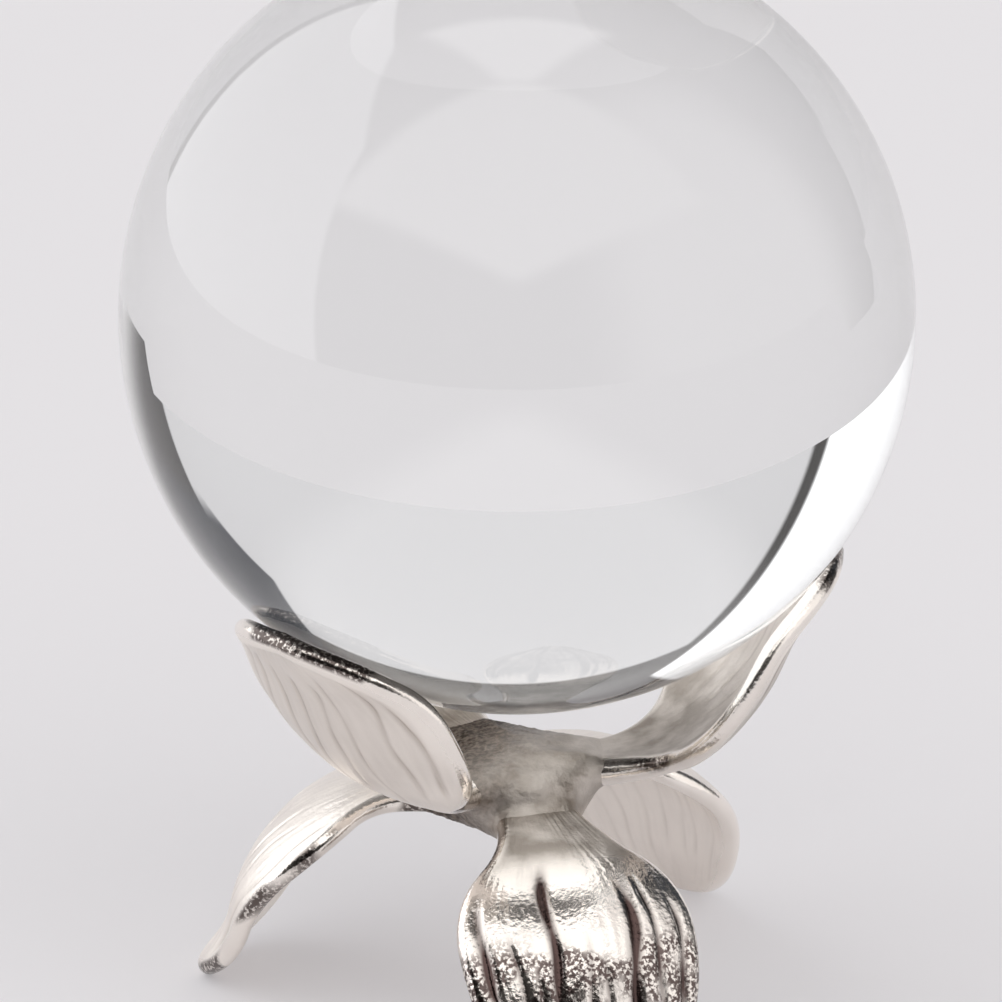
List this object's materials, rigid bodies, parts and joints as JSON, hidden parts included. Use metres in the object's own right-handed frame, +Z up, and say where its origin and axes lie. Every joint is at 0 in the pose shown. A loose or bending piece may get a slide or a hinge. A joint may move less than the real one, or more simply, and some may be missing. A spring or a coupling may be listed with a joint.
{
  "type": "crystal ball",
  "caption": "Clear solid glass ball resting loose in a silver-plated flower stand whose petals curl down as legs and up as a cradle.",
  "frame": {"origin": "on the table surface, under the centre of the ball", "axes": "+Z up through the ball's centre; -Y to the front, where one leg petal points a little to the right; +X to the right"},
  "size_m": [0.08, 0.08, 0.1158],
  "materials": {
    "clear_glass": "polished clear",
    "silver_plate": "bright silver plate over a ribbed casting",
    "cast_hub": "plated rough casting"
  },
  "bodies": {
    "stand": {"hub": "cast_hub", "leg_petal_front": "silver_plate", "leg_petal_left": "silver_plate", "leg_petal_back": "silver_plate", "cup_petal_front": "silver_plate", "cup_petal_right": "silver_plate", "cup_petal_back": "silver_plate"},
    "ball": {"crystal_ball": "clear_glass"}
  },
  "joints": [
    {"name": "ball_lift", "type": "slide", "parent": "stand", "child": "ball", "axis": [0, 0, 1], "range_m": [0, 0.06]}
  ]
}
